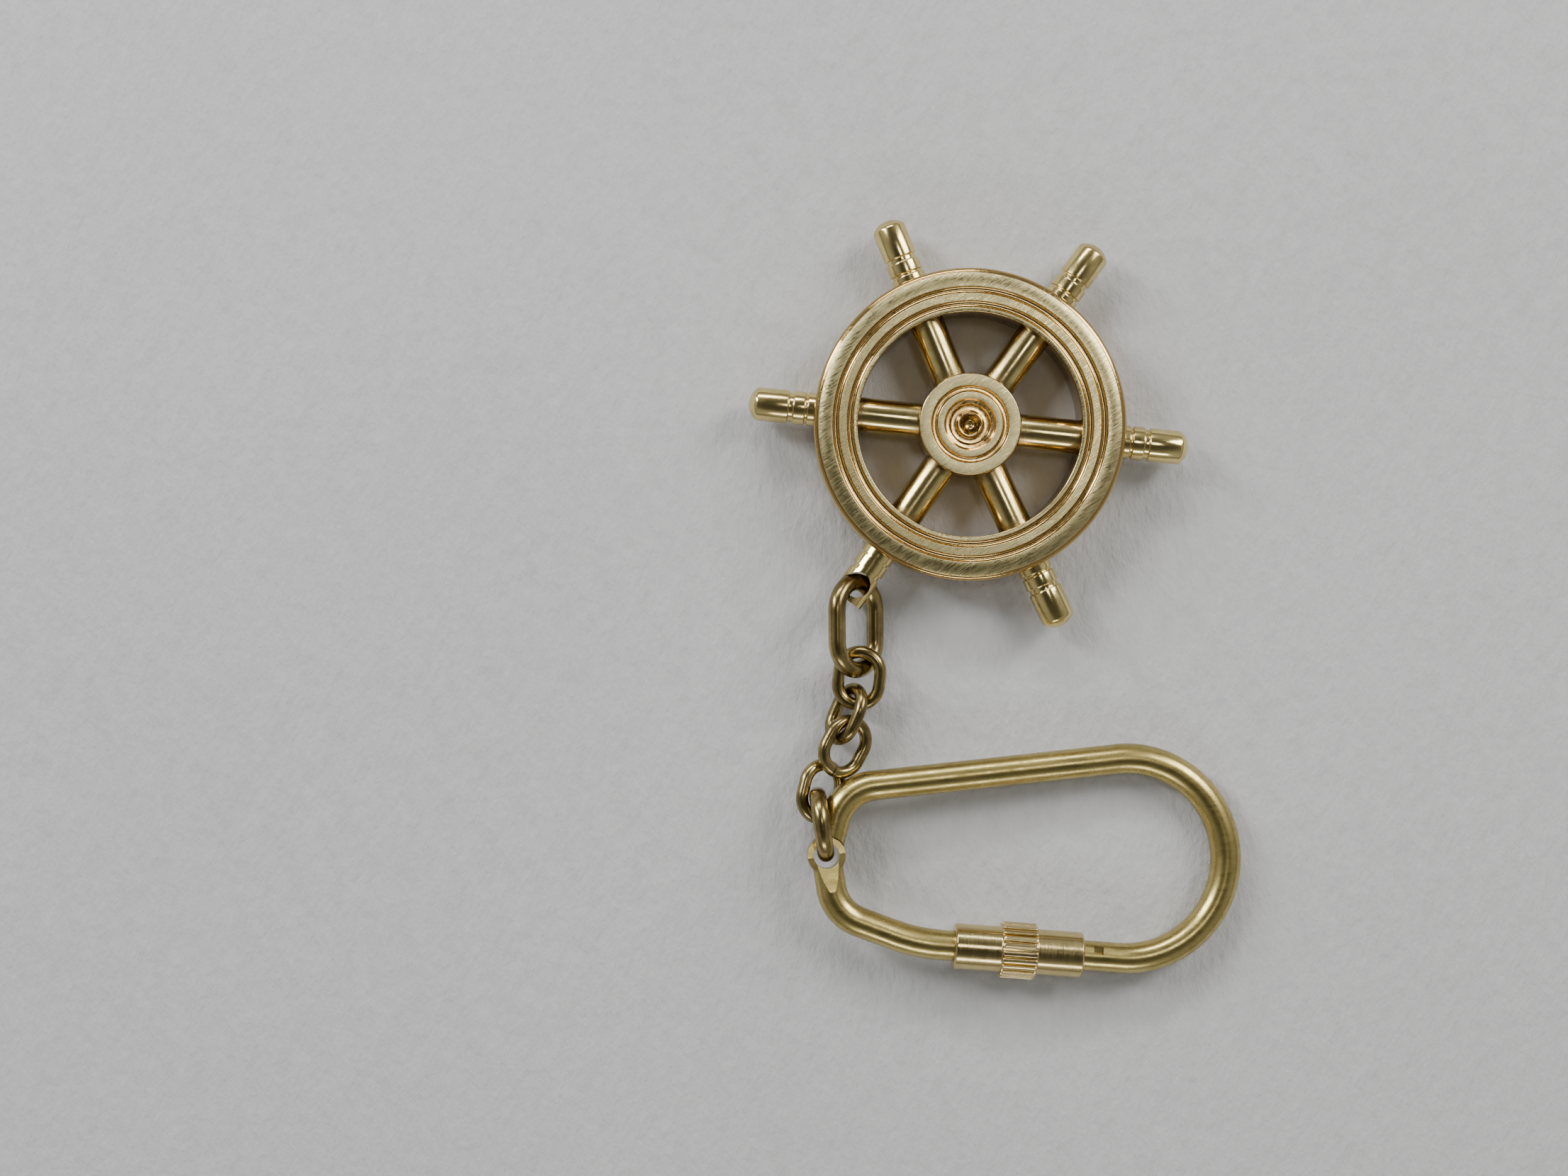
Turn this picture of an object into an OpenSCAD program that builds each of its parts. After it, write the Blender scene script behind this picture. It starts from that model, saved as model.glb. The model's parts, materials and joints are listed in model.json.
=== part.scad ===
// Ship's-wheel key chain: a turned six-spoke wheel, a jump ring, a short chain of oval links,
// an end link and a screw-lock key ring, all of brass, lying on a table.
// The origin is the centre of the hub's back face, on the table. +Z is up, out of the wheel's face.

/* [Wheel] */
// Outside diameter of the rim
rim_d = 36; // [30:0.5:44]
// Width of the rim, from its outside to the opening
rim_w = 5.1; // [4.4:0.1:7]
// Thickness of the rim and the hub, back face to front face
wheel_t = 7; // [6.5:0.1:9]
// Diameter of the hub
hub_d = 11.8; // [10.5:0.1:13]

/* [Rim face] */
// Width of the flat land between the opening and the first cove
inner_land_w = 0.5; // [0.3:0.05:0.8]
// Width of each cove turned in the rim's face
cove_w = 0.8; // [0.5:0.05:1]
// Depth of each cove
cove_depth = 0.32; // [0.1:0.02:0.4]
// Width of the raised land between the two coves
land_w = 0.85; // [0.6:0.05:1.2]
// Radius that rounds the rim's outer corners
rim_round = 0.6; // [0.3:0.05:1]
// Height of the small step inside the rounded corner
rim_step = 0.12; // [0.05:0.01:0.3]

/* [Spokes and handles] */
// Diameter of a spoke between hub and rim
spoke_d = 4; // [3:0.1:4.4]
// Diameter of the screwed tenon in the hub
tenon_d = 2.4; // [1.6:0.1:2.8]
// How far the full spoke diameter is let into the hub
socket_depth = 0.7; // [0.4:0.1:1]
// Diameter of the handle's grip and collars
grip_d = 3.9; // [3.4:0.1:4.2]
// Length of the grip without its domed end
grip_len = 3.65; // [3:0.05:5]
// Length of the domed end
dome_len = 0.95; // [0.6:0.05:1.4]
// Length of the narrow neck below the grip
neck_len = 0.6; // [0.3:0.05:1]
// Depth of the neck and of the groove between the collars
neck_depth = 0.24; // [0.1:0.02:0.4]
// Length of the collar next to the neck
collar_len = 1.35; // [0.8:0.05:1.8]
// Width of the groove between the two collars
groove_w = 0.3; // [0.15:0.05:0.5]
// Length of the collar against the rim, from the rim's outside
seat_collar_len = 0.75; // [0.5:0.05:1.2]
// Distance from the rim's outside to the cross hole that holds the jump ring
shackle_hole_out = 4.5; // [3.8:0.1:5]

/* [Chain] */
// Wire of the jump ring and of the end link
heavy_wire_d = 2; // [1.6:0.05:2.2]
// Outside length of the jump ring
jump_ring_len = 12.2; // [11.6:0.1:12.6]
// Outside width of the jump ring
jump_ring_w = 8.8; // [8.4:0.1:9]
// Wire of the four small links
link_wire_d = 1.45; // [1.1:0.05:1.55]
// Outside length of a small link
link_len = 7.65; // [7.4:0.05:7.8]
// Outside width of a small link
link_w = 6.25; // [6.1:0.05:6.4]
// Outside length of the end link
end_link_len = 8.8; // [8.6:0.1:9]
// Width of the saw cut where each link was closed
butt_gap = 0.12; // [0.05:0.01:0.3]

/* [Key ring] */
// Wire of the key ring's arms
ring_wire_d = 3.5; // [3:0.05:3.7]
// Thickness of each flattened eye
eye_t = 1.1; // [0.8:0.05:1.4]
// Wall round the hole in each eye
eye_wall = 0.7; // [0.5:0.05:1]
// Length of the straight long side
long_side = 28.5; // [25:0.5:36]
// Radius of the round end, on the wire's centreline
round_end_r = 11.6; // [10:0.1:13]

/* [Screw lock] */
// Wall of the sleeve's plain barrels
sleeve_wall = 0.85; // [0.6:0.05:1.1]
// Length of the sleeve
sleeve_len = 15; // [13:0.1:16]
// How far the knurled band stands above the barrels
knurl_rise = 0.6; // [0.3:0.05:0.9]
// Length of the knurled band
knurl_len = 4.1; // [3:0.1:5]
// Number of ridges round the band
knurl_ridges = 22; // [16:1:30]
// Depth of the grooves between the ridges
knurl_depth = 0.3; // [0.15:0.05:0.4]

/* [Fits] */
// Radial clearance of a part that is driven or screwed in
tight_fit = 0.02; // [0.01:0.01:0.05]
// Radial clearance of a part that slides or turns
running_fit = 0.05; // [0.02:0.01:0.1]
// Clear space kept between loose links and what they pass through
loose_fit = 0.15; // [0.1:0.05:0.3]
// Play of the jump ring's wire in the cross hole, on each side
shackle_play = 0.5; // [0.3:0.05:0.6]
// Play of the key ring's wire inside the end link, on each side
end_link_play = 0.35; // [0.25:0.05:0.5]
// Play of the end link's wire in the eyes, on each side
eye_play = 0.5; // [0.4:0.05:0.6]

/* [Hidden] */
$fn = 96;

polished = "gold";
lapped = "khaki";
aged = "darkgoldenrod";
satin = "goldenrod";

rim_r = rim_d / 2;
bore_r = rim_r - rim_w;
hub_r = hub_d / 2;
spoke_z = wheel_t / 2;
cut_past = 1;

// Each spoke was drilled by hand, so the headings aren't quite 60 degrees apart.
spoke_headings = [-6, 54, 112, 174, 235, 295];
least_spacing = 58;
spoke_gap = 0.1;
// The closest to the wheel's centre that a round bar can come before it meets the next one
function meeting_r(d) = (d / 2 + spoke_gap) / sin(least_spacing / 2);
tenon_end_r = meeting_r(tenon_d);
shoulder_start_r = max(hub_r - socket_depth, meeting_r(spoke_d));

// Each handle's collar is let into the rim, and is a hair thinner than the spoke inside.
seat_depth = 0.3;
tip_r = rim_r + seat_collar_len + groove_w + collar_len + neck_len + grip_len + dome_len;
shackle_hole_r = rim_r + shackle_hole_out;
shackle_hole_d = heavy_wire_d + 2 * shackle_play;
// The cross hole came out turned a little round the spoke, and the jump ring has worn it wider.
shackle_turn = -9;

// The hub's face, from its edge in: a fine groove, a shelf, a channel and a bowl with a pip
hub_chamfer = 0.15;
hub_groove_r = 0.4;
hub_groove_in = 1.8;
hub_recess_in = 2.9;
shelf_w = 0.4;
shelf_depth = 0.45;
channel_depth = 0.8;
bowl_rim_depth = 0.3;
bowl_r = 1.4;
bowl_cut_r = 1.5;
bowl_depth = 1.3;
pip_depth = 1.6;
pip_r = 0.2;
step_slope = 0.2;

// ---- Where each link lies: centre, then the angles [roll, dip, heading] that rotate() takes.
// The chain hangs from the cross hole, so places along the table are counted from there.
hole_at = shackle_hole_r * [cos(spoke_headings[4]), sin(spoke_headings[4]), 0];
jump_ring_at = hole_at + [-0.1, -4.77, 3.55];
jump_ring_turn = [-48, 0, 270.5];
link_at = [hole_at + [0.26, -10.88, 3.12],
           hole_at + [-1.24, -15.05, 2.84],
           hole_at + [-1.4, -18.8, 3.51],
           hole_at + [-4.15, -24.03, 3.07]];
link_turn = [[6.9, 5.4, 263.3],
             [59.2, 0, 247],
             [-26.4, -9.7, 241.4],
             [-29.7, -8.5, 255.9]];
end_link_at = hole_at + [-4.1, -27.77, 0];
end_link_heading = 278;

// The end link stands on edge, and its opening just lets the key ring's wire through.
end_link_w = ring_wire_d + 2 * heavy_wire_d + 2 * end_link_play;
table_gap = 0.02;
ring_table_gap = 0.08;
eye_pull = 0.2;
end_link_z = end_link_w / 2 + table_gap;

// ---- Key ring, laid out flat from the centre of its eyes.
eye_inset = heavy_wire_d / 2 - eye_pull;
eye_hole_d = heavy_wire_d + 2 * eye_play;
eye_w = eye_hole_d + 2 * eye_wall;
eye_at = [end_link_at.x + cos(end_link_heading) * (end_link_len / 2 - eye_inset),
          end_link_at.y + sin(end_link_heading) * (end_link_len / 2 - eye_inset)];
neck_heading = 75.6;
wire_r = ring_wire_d / 2;
shoulder_r = 5.2;
shoulder_turn = -69.6;
long_side_heading = neck_heading + shoulder_turn;
neck_straight = 4.3;
round_end_turn = -190.5;
round_end_lead = 4.5;
sleeve_heading = long_side_heading + round_end_turn;

short_lead = 1.5;
short_bend = -16;
short_bend_r = 20;
elbow_r = 5;
elbow_heading = 99;
bend_swell = 0.04;
bend_lap = 0.05;

// How far each arm reaches into the sleeve, and where the sleeve's retaining ring sits.
short_arm_in_sleeve = 3.3;
long_arm_in_sleeve = 10;
ring_groove_len = 1.2;
ring_groove_from_end = 2;
ring_groove_depth = 0.4;
sleeve_bore_d = ring_wire_d + 2 * running_fit;
sleeve_d = sleeve_bore_d + 2 * sleeve_wall;
knurl_d = sleeve_d + 2 * knurl_rise;
sleeve_chamfer = 0.2;

// The filed facet on each eye, and the small notch filed in the long arm beside the sleeve
facet_len = 4.2;
notch_len = 1.1;
notch_w = 0.9;
notch_depth = 0.9;
notch_side = 0.35;
notch_out = 1.2;

// A point p after rotate(a)
function about_x(p, a) = [p.x, p.y * cos(a) - p.z * sin(a), p.y * sin(a) + p.z * cos(a)];
function about_y(p, a) = [p.x * cos(a) + p.z * sin(a), p.y, p.z * cos(a) - p.x * sin(a)];
function about_z(p, a) = [p.x * cos(a) - p.y * sin(a), p.x * sin(a) + p.y * cos(a), p.z];
function turned(p, a) = about_z(about_y(about_x(p, a.x), a.y), a.z);

// ---- Wheel

module cove(r) {
    half = cove_w / 2;
    tool_r = (half * half + cove_depth * cove_depth) / (2 * cove_depth);
    translate([r, wheel_t + tool_r - cove_depth])
        circle(r = tool_r);
}

inner_cove_r = bore_r + inner_land_w + cove_w / 2;
outer_cove_r = inner_cove_r + cove_w + land_w;

module rim_section() {
    core = rim_r - rim_round;
    difference() {
        union() {
            translate([bore_r, 0])
                square([core - bore_r, wheel_t]);
            translate([bore_r, rim_round])
                square([rim_r - bore_r, wheel_t - 2 * rim_round - rim_step]);
            translate([core, rim_round])
                circle(r = rim_round);
            translate([core, wheel_t - rim_round - rim_step])
                circle(r = rim_round);
        }
        cove(inner_cove_r);
        cove(outer_cove_r);
    }
}

module rim() {
    color(lapped)
        difference() {
            rotate_extrude($fn = 180)
                rim_section();
            for (a = spoke_headings)
                rotate([0, 90, a])
                    translate([-spoke_z, 0, bore_r - cut_past])
                        cylinder(d = spoke_d + 2 * tight_fit, h = rim_w + 2 * cut_past);
        }
}

// The solid below each step of the hub's face, as [radius, depth below the face] corners
module hub_section() {
    recess_r = hub_r - hub_recess_in;
    shelf_r = recess_r - step_slope - shelf_w;
    difference() {
        polygon([[0, 0],
                 [hub_r - hub_chamfer, 0],
                 [hub_r, hub_chamfer],
                 [hub_r, wheel_t - hub_chamfer],
                 [hub_r - hub_chamfer, wheel_t],
                 [recess_r, wheel_t],
                 [recess_r - step_slope, wheel_t - shelf_depth],
                 [shelf_r, wheel_t - shelf_depth],
                 [shelf_r - step_slope, wheel_t - channel_depth],
                 [bowl_r + step_slope, wheel_t - channel_depth],
                 [bowl_r, wheel_t - bowl_rim_depth],
                 [0, wheel_t - bowl_rim_depth]]);
        translate([hub_r - hub_groove_in, wheel_t])
            circle(r = hub_groove_r);
        intersection() {
            translate([0, wheel_t + bowl_cut_r - bowl_depth])
                circle(r = bowl_cut_r);
            square([bowl_cut_r, wheel_t + cut_past]);
        }
        polygon([[0, wheel_t], [pip_r, wheel_t - bowl_depth], [0, wheel_t - pip_depth]]);
    }
}

module hub() {
    color(lapped)
        difference() {
            rotate_extrude()
                hub_section();
            for (a = spoke_headings)
                rotate([0, 90, a])
                    translate([-spoke_z, 0, 0]) {
                        translate([0, 0, shoulder_start_r])
                            cylinder(d = spoke_d + 2 * tight_fit, h = hub_r);
                        translate([0, 0, tenon_end_r - tight_fit])
                            cylinder(d = tenon_d + 2 * tight_fit, h = hub_r);
                    }
        }
}

// A spoke and its handle, turned in one piece along +Z from the wheel's centre.
module turned_spoke(domed) {
    grip_r = grip_d / 2;
    low_r = grip_r - neck_depth;
    grip_end = tip_r - dome_len;
    grip_start = grip_end - grip_len;
    neck_start = grip_start - neck_len;
    collar_start = neck_start - collar_len;
    dome_r = (dome_len * dome_len + grip_r * grip_r) / (2 * dome_len);
    // The tenon is the end of a core that runs on inside, so that no two lengths only touch.
    core_end = domed ? grip_end + dome_len / 2 : grip_end;
    translate([0, 0, tenon_end_r])
        cylinder(d = tenon_d, h = core_end - tenon_end_r);
    translate([0, 0, shoulder_start_r])
        cylinder(d = spoke_d, h = rim_r - seat_depth - shoulder_start_r);
    translate([0, 0, rim_r - seat_depth])
        cylinder(r = grip_r, h = seat_depth + seat_collar_len);
    translate([0, 0, collar_start - groove_w])
        cylinder(r = low_r, h = groove_w);
    translate([0, 0, collar_start])
        cylinder(r = grip_r, h = collar_len);
    translate([0, 0, neck_start])
        cylinder(r = low_r, h = neck_len);
    translate([0, 0, grip_start])
        cylinder(r = grip_r, h = grip_len);
    if (domed)
        intersection() {
            translate([0, 0, tip_r - dome_r])
                sphere(r = dome_r);
            translate([0, 0, grip_end])
                cylinder(r = grip_r, h = dome_len);
        }
}

module on_spoke(i) {
    rotate([0, 0, spoke_headings[i]])
        translate([0, 0, spoke_z])
            rotate([0, 90, 0])
                children();
}

module spoke(i) {
    color(polished)
        on_spoke(i)
            turned_spoke(true);
}

module shackle_spoke() {
    color(polished)
        difference() {
            on_spoke(4)
                turned_spoke(false);
            on_spoke(4)
                translate([0, 0, shackle_hole_r])
                    rotate([shackle_turn, 0, 0])
                        rotate([0, 90, 0])
                            cylinder(d = shackle_hole_d, h = 2 * grip_d, center = true);
            translate(jump_ring_at)
                rotate(jump_ring_turn)
                    worn_track();
        }
}

// ---- Chain: an oval loop of wire, its long axis along X, with one saw cut where it was closed

module bow(wire, width) {
    rotate([0, 0, -90])
        rotate_extrude(angle = 180)
            translate([(width - wire) / 2, 0])
                circle(d = wire, $fn = 48);
}

// The track that the jump ring's near bow has worn: the bow's own centreline, with room round it
module worn_track() {
    translate([-(jump_ring_len - jump_ring_w) / 2, 0, 0])
        rotate([0, 0, 180])
            bow(heavy_wire_d + 2 * loose_fit, jump_ring_w + 2 * loose_fit);
}

module oval(wire, length, width) {
    straight = length - width;
    for (side = [0, 180])
        rotate([0, 0, side])
            translate([straight / 2, 0, 0])
                bow(wire, width);
    for (side = [-1, 1])
        translate([-straight / 2, side * (width - wire) / 2, 0])
            rotate([0, 90, 0])
                cylinder(d = wire, h = straight, $fn = 48);
}

module oval_link(wire, length, width, cut_side) {
    difference() {
        oval(wire, length, width);
        translate([0, cut_side * (width - wire) / 2, 0])
            cube([butt_gap, 1.5 * wire, 1.5 * wire], center = true);
    }
}

module jump_ring() {
    color(aged)
        translate(jump_ring_at)
            rotate(jump_ring_turn)
                oval_link(heavy_wire_d, jump_ring_len, jump_ring_w, 1);
}

module chain_link(i) {
    color(aged)
        translate(link_at[i])
            rotate(link_turn[i])
                oval_link(link_wire_d, link_len, link_w, 1);
}

module end_link() {
    color(aged)
        translate([end_link_at.x, end_link_at.y, end_link_z])
            rotate([90, 0, end_link_heading])
                oval_link(heavy_wire_d, end_link_len, end_link_w, 1);
}

// ---- Key ring

// The point that lies run further on from p, and an arc's centre. A negative turn goes right.
function ahead(p, heading, run) = [p.x + run * cos(heading), p.y + run * sin(heading)];
function arc_centre(p, heading, r, turn) = ahead(p, heading + sign(turn) * 90, r);
function arc_end(p, heading, r, turn) =
    ahead(arc_centre(p, heading, r, turn), heading + turn - sign(turn) * 90, r);
// How much of each straight a bend of radius r takes up, and where two headed lines cross
function bend_share(r, turn) = r * tan(abs(turn) / 2);
function run_to_cross(p, h, q, g) =
    ((q.x - p.x) * sin(g) - (q.y - p.y) * cos(g)) / (cos(h) * sin(g) - sin(h) * cos(g));

shoulder_start = ahead([0, 0], neck_heading, neck_straight);
long_side_start = arc_end(shoulder_start, neck_heading, shoulder_r, shoulder_turn);
round_end_start = ahead(long_side_start, long_side_heading, long_side);
round_end_centre = arc_centre(round_end_start, long_side_heading, round_end_r, round_end_turn);
round_end_stop = arc_end(round_end_start, long_side_heading, round_end_r, round_end_turn);
sleeve_right = ahead(round_end_stop, sleeve_heading, round_end_lead);
sleeve_left = ahead(sleeve_right, sleeve_heading, sleeve_len);

// The short arm runs from inside the sleeve through a slight bend and an elbow to the eye.
slight_bend_at = ahead(sleeve_left, sleeve_heading, short_lead + bend_share(short_bend_r, short_bend));
mid_heading = sleeve_heading + short_bend;
elbow_turn = elbow_heading - mid_heading - 360;
mid_run = run_to_cross(slight_bend_at, mid_heading, [0, 0], elbow_heading);
elbow_at = ahead(slight_bend_at, mid_heading, mid_run);
mid_straight = mid_run - bend_share(short_bend_r, short_bend) - bend_share(elbow_r, elbow_turn);
end_straight = norm(elbow_at) - bend_share(elbow_r, elbow_turn);

// The ring leans: its eyes ride on the end link, the knurled band and the round end on the table.
sleeve_mid = ahead(sleeve_right, sleeve_heading, sleeve_len / 2);
far_rest = ahead(round_end_centre, 60, round_end_r);
sleeve_drop = knurl_d / 2 + ring_table_gap - end_link_z;
far_drop = wire_r + ring_table_gap - end_link_z;
lean_area = sleeve_mid.x * far_rest.y - sleeve_mid.y * far_rest.x;
slope_x = (sleeve_drop * far_rest.y - far_drop * sleeve_mid.y) / lean_area;
slope_y = (far_drop * sleeve_mid.x - sleeve_drop * far_rest.x) / lean_area;
lean = asin(norm([slope_x, slope_y]));

module on_ring() {
    translate([eye_at.x, eye_at.y, end_link_z])
        rotate(lean, [slope_y, -slope_x, 0])
            children();
}

// A wire that starts at the origin along +X and runs through [straight, bend radius, turn] steps.
// Bending swells the wire by a hair, and each straight reaches a little way into its bends.
module wire_run(steps, i = 0) {
    step = steps[i];
    bend = sign(step[2]);
    back = i == 0 ? 0 : bend_lap;
    translate([-back, 0, 0])
        rotate([0, 90, 0])
            cylinder(d = ring_wire_d, h = back + step[0] + (bend == 0 ? 0 : bend_lap));
    if (bend != 0)
        translate([step[0], bend * step[1], 0]) {
            rotate([0, 0, bend > 0 ? -90 : 90 + step[2]])
                rotate_extrude(angle = abs(step[2]))
                    translate([step[1], 0])
                        circle(d = ring_wire_d + bend_swell);
            rotate([0, 0, step[2]])
                translate([0, -bend * step[1], 0])
                    wire_run(steps, i + 1);
        }
}

// Takes the file's slanted facet off the top of an eye that lies along -X from its centre.
module facet_cut() {
    translate([facet_len, 0, wire_r])
        rotate([0, -atan((wire_r - eye_t) / facet_len), 0])
            translate([-4 * facet_len, -eye_w, 0])
                cube([4 * facet_len, 2 * eye_w, eye_w]);
}

module flattened(heading, flip) {
    difference() {
        union() {
            children();
            cylinder(d = eye_w, h = eye_t * 2, center = true);
        }
        rotate([flip, 0, heading])
            facet_cut();
        rotate([flip, 0, 0])
            translate([0, 0, -eye_w])
                cylinder(d = eye_w + 2 * loose_fit, h = eye_w + tight_fit);
        cylinder(d = eye_hole_d, h = 2 * eye_w, center = true);
    }
}

// The long arm's neck is filed away where the last small link and the end link lie against it.
module link_relief() {
    translate([end_link_at.x, end_link_at.y, end_link_z])
        rotate([90, 0, end_link_heading])
            oval(heavy_wire_d + 2 * loose_fit, end_link_len + 2 * loose_fit, end_link_w + 2 * loose_fit);
    translate(link_at[3])
        rotate(link_turn[3])
            oval(link_wire_d + 2 * loose_fit, link_len + 2 * loose_fit, link_w + 2 * loose_fit);
}

module long_arm() {
    color(satin)
        difference() {
            on_ring()
                difference() {
                    flattened(neck_heading, 180)
                        rotate([0, 0, neck_heading])
                            wire_run([[neck_straight, shoulder_r, shoulder_turn],
                                      [long_side, round_end_r, round_end_turn],
                                      [round_end_lead + long_arm_in_sleeve, 0, 0]]);
                    translate([round_end_stop.x, round_end_stop.y, 0])
                        rotate([0, 0, sleeve_heading])
                            translate([round_end_lead - notch_out - notch_len, -notch_side - notch_w,
                                       wire_r - notch_depth])
                                cube([notch_len, notch_w, wire_r]);
                }
            link_relief();
        }
}

module short_arm() {
    start = ahead(sleeve_left, sleeve_heading, -short_arm_in_sleeve);
    color(satin)
        on_ring()
            flattened(elbow_heading + 180, 0)
                translate([start.x, start.y, 0])
                    rotate([0, 0, sleeve_heading])
                        wire_run([[short_arm_in_sleeve + short_lead, short_bend_r, short_bend],
                                  [mid_straight, elbow_r, elbow_turn],
                                  [end_straight, 0, 0]]);
}

// ---- Screw lock, along +X from the sleeve's right end

module on_sleeve() {
    on_ring()
        translate([sleeve_right.x, sleeve_right.y, 0])
            rotate([0, 0, sleeve_heading])
                children();
}

module tube(outer_d, from, to) {
    translate([from, 0, 0])
        rotate([0, 90, 0])
            cylinder(d = outer_d, h = to - from);
}

module lock_sleeve() {
    knurl_from = (sleeve_len - knurl_len) / 2;
    cutter_out = 0.12;
    color(polished)
        on_sleeve()
            difference() {
                union() {
                    rotate([0, 90, 0])
                        rotate_extrude()
                            polygon([[0, 0],
                                     [sleeve_d / 2 - sleeve_chamfer, 0],
                                     [sleeve_d / 2, sleeve_chamfer],
                                     [sleeve_d / 2, sleeve_len - sleeve_chamfer],
                                     [sleeve_d / 2 - sleeve_chamfer, sleeve_len],
                                     [0, sleeve_len]]);
                    tube(knurl_d, knurl_from, knurl_from + knurl_len);
                }
                for (i = [1 : knurl_ridges])
                    rotate([i * 360 / knurl_ridges, 0, 0])
                        translate([knurl_from - cut_past, 0, knurl_d / 2 + cutter_out])
                            rotate([0, 90, 0])
                                cylinder(r = knurl_depth + cutter_out, h = knurl_len + 2 * cut_past, $fn = 24);
                tube(sleeve_bore_d, -cut_past, sleeve_len + cut_past);
                tube(sleeve_bore_d + 2 * ring_groove_depth, ring_groove_from_end,
                     ring_groove_from_end + ring_groove_len);
            }
}

module retaining_ring() {
    color(polished)
        on_sleeve()
            difference() {
                tube(ring_wire_d + 2 * ring_groove_depth, ring_groove_from_end + running_fit,
                     ring_groove_from_end + ring_groove_len - running_fit);
                tube(sleeve_bore_d, 0, sleeve_len);
            }
}

rim();
hub();
spoke(0);  // spoke_1
spoke(1);  // spoke_2
spoke(2);  // spoke_3
spoke(3);  // spoke_4
shackle_spoke();
spoke(5);  // spoke_6
jump_ring();
chain_link(0);  // chain_link_1
chain_link(1);  // chain_link_2
chain_link(2);  // chain_link_3
chain_link(3);  // chain_link_4
end_link();
long_arm();
short_arm();
retaining_ring();
lock_sleeve();
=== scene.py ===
# %% [markdown]
# # A ship's-wheel key chain in brass
# The object is a small turned wheel with six handles, a jump ring, four small links, an end link
# and a key ring that a knurled sleeve screws shut. All of it is solid brass, in five finishes. The
# knurl has a second tone of the sleeve's, and the hub has the lapped brass painted lighter: painted
# light for the brighter reflection on the hub's face.
# The CAD model is loaded first and stays as it is: it says where each piece lies and how big it is.
# Everything below either gives a CAD piece a better finish or puts a finer piece in its place.

# %% Load the frame
import json
import math
import bpy
from mathutils import Euler, Matrix, Vector


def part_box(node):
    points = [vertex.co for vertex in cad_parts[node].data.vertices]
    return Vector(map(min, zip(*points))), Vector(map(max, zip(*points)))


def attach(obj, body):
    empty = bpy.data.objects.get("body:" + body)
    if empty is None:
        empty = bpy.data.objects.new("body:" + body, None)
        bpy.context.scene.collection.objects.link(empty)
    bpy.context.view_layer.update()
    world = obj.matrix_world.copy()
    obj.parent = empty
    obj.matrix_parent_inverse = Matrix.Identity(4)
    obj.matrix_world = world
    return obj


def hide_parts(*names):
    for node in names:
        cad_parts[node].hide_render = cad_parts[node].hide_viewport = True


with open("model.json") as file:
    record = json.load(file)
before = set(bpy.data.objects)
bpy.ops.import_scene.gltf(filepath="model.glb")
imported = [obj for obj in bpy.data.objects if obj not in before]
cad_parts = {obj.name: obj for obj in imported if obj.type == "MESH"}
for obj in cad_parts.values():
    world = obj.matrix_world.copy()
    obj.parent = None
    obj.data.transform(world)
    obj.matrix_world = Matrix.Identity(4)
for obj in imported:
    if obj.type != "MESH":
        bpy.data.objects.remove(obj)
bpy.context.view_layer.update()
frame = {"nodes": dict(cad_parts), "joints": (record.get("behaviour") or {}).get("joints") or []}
MM = 0.001
SPOKE_HEADINGS = {"spoke_1": -6, "spoke_2": 54, "spoke_3": 112, "spoke_4": 174, "shackle_spoke": 235,
                  "spoke_6": 295}
print("CAD nodes:", ", ".join(sorted(frame["nodes"])))

# %% [markdown]
# ## Camera
# The key chain is seen from straight above, and lies to the right of the middle of the view.
# A long lens high above the table keeps the wheel's wall nearly hidden, so the camera is placed
# 300 mm up. It looks straight down beside the object, which is what puts the object off centre.

# %% Camera
camera = bpy.data.objects.new("camera", bpy.data.cameras.new("camera"))
bpy.context.scene.collection.objects.link(camera)
camera_height = 300
camera.location = Vector((-21.38, -18.82, camera_height)) * MM
camera.data.lens = 58.65
camera.data.sensor_width = 36
camera.data.clip_start = 0.01
bpy.context.scene.camera = camera
print("camera height", camera_height, "mm, lens", round(camera.data.lens, 2), "mm")


# %% [markdown]
# ## Node helpers
# Every finish below is a small tree of nodes. A few helpers keep the trees readable: node adds a
# node and sets or links its inputs, and the others wrap the nodes that are used most. Patterns read
# Object coordinates, which are in metres, so a noise scale of 1000 gives spots about 1 mm wide.

# %% Node helpers
def node(tree, kind, settings=None, **inputs):
    made = tree.nodes.new(kind)
    for key, value in (settings or {}).items():
        setattr(made, key, value)
    for key, value in inputs.items():
        socket = made.inputs[int(key[1:])] if key[0] == "i" and key[1:].isdigit() else made.inputs[key]
        if isinstance(value, bpy.types.NodeSocket):
            tree.links.new(value, socket)
        else:
            socket.default_value = value
    return made


def ramp(tree, factor, stops):
    made = node(tree, "ShaderNodeValToRGB", Fac=factor)
    while len(made.color_ramp.elements) < len(stops):
        made.color_ramp.elements.new(0.5)
    for element, (place, colour) in zip(made.color_ramp.elements, stops):
        element.position = place
        element.color = (*colour, 1) if len(colour) == 3 else colour
    return made.outputs["Color"]


def math_node(tree, operation, a, b=0.0):
    return node(tree, "ShaderNodeMath", {"operation": operation}, i0=a, i1=b).outputs[0]


def about_zero(tree, noise, amount):
    """Noise that runs from 0 to 1, moved to swing either side of zero by half the amount."""
    return math_node(tree, "MULTIPLY", math_node(tree, "SUBTRACT", noise, 0.5), amount)


def mix(tree, share, a, b, blend="MIX"):
    made = tree.nodes.new("ShaderNodeMix")
    made.data_type = "RGBA"
    made.blend_type = blend
    for socket, value in ((made.inputs[0], share), (made.inputs[6], a), (made.inputs[7], b)):
        if isinstance(value, bpy.types.NodeSocket):
            tree.links.new(value, socket)
        else:
            socket.default_value = value
    return made.outputs[2]
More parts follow.
